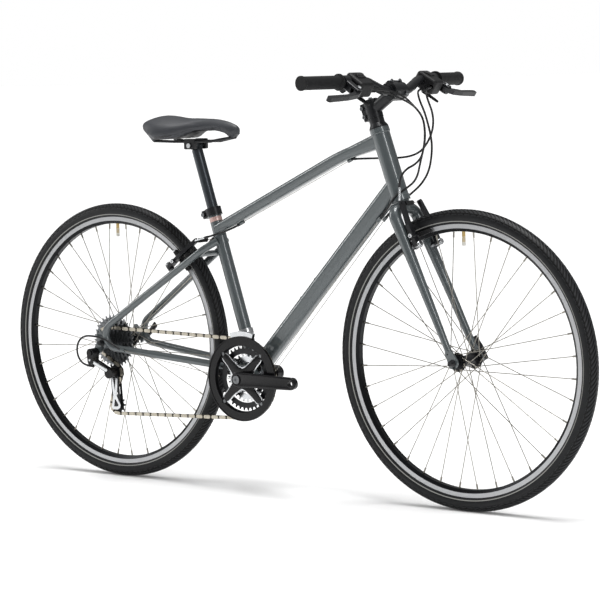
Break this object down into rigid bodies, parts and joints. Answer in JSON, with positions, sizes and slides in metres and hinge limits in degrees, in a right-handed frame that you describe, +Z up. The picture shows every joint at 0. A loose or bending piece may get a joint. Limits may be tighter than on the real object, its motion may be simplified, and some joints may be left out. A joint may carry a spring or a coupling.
{
  "type": "hybrid bicycle",
  "caption": "Flat-bar hybrid bicycle with sloping frame, rigid fork, rim brakes, derailleur gears and quick-release wheels; steers, rolls, brakes, shifts levers and adjusts its saddle.",
  "frame": {"origin": "on the ground halfway between the two tyre contacts", "axes": "+X forward, +Y to the rider's left, +Z up"},
  "size_m": [1.7598, 0.6326, 1.0175],
  "materials": {
    "frame_paint": "gloss slate grey paint",
    "black_alloy": "satin black",
    "silver_alloy": "polished",
    "steel": "plated",
    "chain_steel": "oiled",
    "black_plastic": "moulded",
    "tyre_rubber": "matt",
    "rubber": "matt",
    "saddle_vinyl": "satin vinyl",
    "post_alloy": "satin dark grey"
  },
  "bodies": {
    "frame": {"frame": "frame_paint", "bottle_bolts": "steel", "headset_bearings": "steel", "bottom_bracket_cartridge": "steel", "seat_clamp": "black_alloy", "rear_axle": "steel", "rear_mech_body": "black_alloy", "rear_mech_cage": "silver_alloy", "front_mech": "silver_alloy", "chain": "chain_steel", "frame_cables": "rubber", "control_cables": "rubber"},
    "steering": {"fork": "frame_paint", "headset_spacers": "black_alloy", "stem": "black_alloy", "stem_faceplate": "black_alloy", "stem_bolts": "steel", "handlebar": "black_alloy", "grips": "rubber", "lever_brackets": "black_plastic", "shifter_pods": "black_plastic", "front_axle": "steel", "front_brake_cable": "rubber"},
    "front_wheel": {"front_tyre": "tyre_rubber", "front_rim": "silver_alloy", "front_spokes": "steel", "front_hub": "black_alloy", "front_inner_tube": "rubber"},
    "rear_wheel": {"rear_tyre": "tyre_rubber", "rear_rim": "silver_alloy", "rear_spokes": "steel", "rear_hub": "black_alloy", "rear_inner_tube": "rubber"},
    "cassette": {"cassette_sprockets": "steel", "freehub_body": "steel"},
    "crankset": {"crank_spindle": "steel", "right_crank": "black_alloy", "left_crank": "black_alloy", "chainrings": "black_alloy", "chain_guard": "black_plastic", "crank_bolts": "steel"},
    "seatpost": {"seatpost": "post_alloy"},
    "saddle": {"saddle_clamp": "black_alloy", "saddle_rails": "black_alloy", "saddle_shell": "black_plastic", "saddle_cover": "saddle_vinyl"},
    "guide_pulley": {"guide_pulley": "black_plastic"},
    "tension_pulley": {"tension_pulley": "black_plastic"},
    "front_right_brake_arm": {"front_right_brake_arm": "black_alloy"},
    "front_left_brake_arm": {"front_left_brake_arm": "black_alloy"},
    "rear_right_brake_arm": {"rear_right_brake_arm": "black_alloy"},
    "rear_left_brake_arm": {"rear_left_brake_arm": "black_alloy"},
    "right_brake_lever": {"right_brake_lever": "black_alloy"},
    "left_brake_lever": {"left_brake_lever": "black_alloy"},
    "right_thumb_lever": {"right_thumb_lever": "black_plastic"},
    "left_thumb_lever": {"left_thumb_lever": "black_plastic"},
    "right_release_lever": {"right_release_lever": "black_plastic"},
    "left_release_lever": {"left_release_lever": "black_plastic"},
    "front_qr_lever": {"front_qr_lever": "black_alloy"},
    "rear_qr_lever": {"rear_qr_lever": "black_alloy"}
  },
  "joints": [
    {"name": "steering", "type": "hinge", "parent": "frame", "child": "steering", "pos_m": [0.35657, 0, 0.71545], "axis": [-0.3256, 0, 0.9455], "range_deg": [-60, 60], "deforming": ["control_cables"]},
    {"name": "front_wheel_spin", "type": "hinge", "parent": "steering", "child": "front_wheel", "pos_m": [0.53, 0, 0.35], "axis": [0, 1, 0], "continuous": true},
    {"name": "rear_wheel_spin", "type": "hinge", "parent": "frame", "child": "rear_wheel", "pos_m": [-0.53, 0, 0.35], "axis": [0, 1, 0], "continuous": true},
    {"name": "crank_spin", "type": "hinge", "parent": "frame", "child": "crankset", "pos_m": [-0.08532, 0, 0.281], "axis": [0, 1, 0], "continuous": true},
    {"name": "cassette_spin", "type": "hinge", "parent": "frame", "child": "cassette", "pos_m": [-0.53, 0, 0.35], "axis": [0, 1, 0], "continuous": true},
    {"name": "guide_pulley_spin", "type": "hinge", "parent": "frame", "child": "guide_pulley", "pos_m": [-0.512, -0.0466, 0.272], "axis": [0, 1, 0], "continuous": true},
    {"name": "tension_pulley_spin", "type": "hinge", "parent": "frame", "child": "tension_pulley", "pos_m": [-0.506, -0.0466, 0.19], "axis": [0, 1, 0], "continuous": true},
    {"name": "right_brake_lever", "type": "hinge", "parent": "steering", "child": "right_brake_lever", "pos_m": [0.36573, -0.17473, 0.97396], "axis": [-0.525, 0.0719, -0.848], "range_deg": [0, 19], "stiffness_Nm_per_rad": 1.2, "springref_deg": -20.05},
    {"name": "right_thumb_lever", "type": "hinge", "parent": "steering", "child": "right_thumb_lever", "pos_m": [0.34816, -0.14053, 0.98774], "axis": [-0.525, 0.0719, -0.848], "range_deg": [0, 20], "stiffness_Nm_per_rad": 0.3, "springref_deg": -20.05},
    {"name": "right_release_lever", "type": "hinge", "parent": "steering", "child": "right_release_lever", "pos_m": [0.34816, -0.14053, 0.98774], "axis": [-0.525, 0.0719, -0.848], "range_deg": [0, 12], "stiffness_Nm_per_rad": 0.3, "springref_deg": -17.19},
    {"name": "left_brake_lever", "type": "hinge", "parent": "steering", "child": "left_brake_lever", "pos_m": [0.36573, 0.17473, 0.97396], "axis": [0.525, 0.0719, 0.848], "range_deg": [0, 19], "stiffness_Nm_per_rad": 1.2, "springref_deg": -20.05},
    {"name": "left_thumb_lever", "type": "hinge", "parent": "steering", "child": "left_thumb_lever", "pos_m": [0.34816, 0.14053, 0.98774], "axis": [0.525, 0.0719, 0.848], "range_deg": [0, 20], "stiffness_Nm_per_rad": 0.3, "springref_deg": -20.05},
    {"name": "left_release_lever", "type": "hinge", "parent": "steering", "child": "left_release_lever", "pos_m": [0.34816, 0.14053, 0.98774], "axis": [0.525, 0.0719, 0.848], "range_deg": [0, 12], "stiffness_Nm_per_rad": 0.3, "springref_deg": -17.19},
    {"name": "front_right_brake_arm", "type": "hinge", "parent": "steering", "child": "front_right_brake_arm", "pos_m": [0.40617, -0.042, 0.60669], "axis": [-0.9007, 0, -0.4345], "range_deg": [0, 2.5]},
    {"name": "front_left_brake_arm", "type": "hinge", "parent": "steering", "child": "front_left_brake_arm", "pos_m": [0.40617, 0.042, 0.60669], "axis": [0.9007, 0, 0.4345], "range_deg": [0, 2.5]},
    {"name": "rear_right_brake_arm", "type": "hinge", "parent": "frame", "child": "rear_right_brake_arm", "pos_m": [-0.30906, -0.042, 0.53003], "axis": [-0.6317, 0, 0.7752], "range_deg": [0, 2.5]},
    {"name": "rear_left_brake_arm", "type": "hinge", "parent": "frame", "child": "rear_left_brake_arm", "pos_m": [-0.30906, 0.042, 0.53003], "axis": [0.6317, 0, -0.7752], "range_deg": [0, 2.5]},
    {"name": "seatpost_height", "type": "slide", "parent": "frame", "child": "seatpost", "axis": [-0.2974, 0, 0.9548], "range_m": [-0.1, 0.055]},
    {"name": "saddle_tilt", "type": "hinge", "parent": "seatpost", "child": "saddle", "pos_m": [-0.26166, 0, 0.84717], "axis": [0, 1, 0], "range_deg": [-8, 8]},
    {"name": "front_qr_lever", "type": "hinge", "parent": "steering", "child": "front_qr_lever", "pos_m": [0.53, 0.0759, 0.35], "axis": [-0.9007, 0, -0.4345], "range_deg": [0, 170]},
    {"name": "rear_qr_lever", "type": "hinge", "parent": "frame", "child": "rear_qr_lever", "pos_m": [-0.53, 0.0934, 0.35], "axis": [-0.6317, 0, 0.7752], "range_deg": [0, 170]}
  ],
  "couplings": [
    {"joint": "cassette_spin", "follows": "crank_spin", "ratio": 2.6667},
    {"joint": "guide_pulley_spin", "follows": "crank_spin", "ratio": -4.3636},
    {"joint": "tension_pulley_spin", "follows": "crank_spin", "ratio": 4.3636},
    {"joint": "front_right_brake_arm", "follows": "right_brake_lever", "ratio": 0.13158},
    {"joint": "front_left_brake_arm", "follows": "right_brake_lever", "ratio": 0.13158},
    {"joint": "rear_right_brake_arm", "follows": "left_brake_lever", "ratio": 0.13158},
    {"joint": "rear_left_brake_arm", "follows": "left_brake_lever", "ratio": 0.13158}
  ]
}
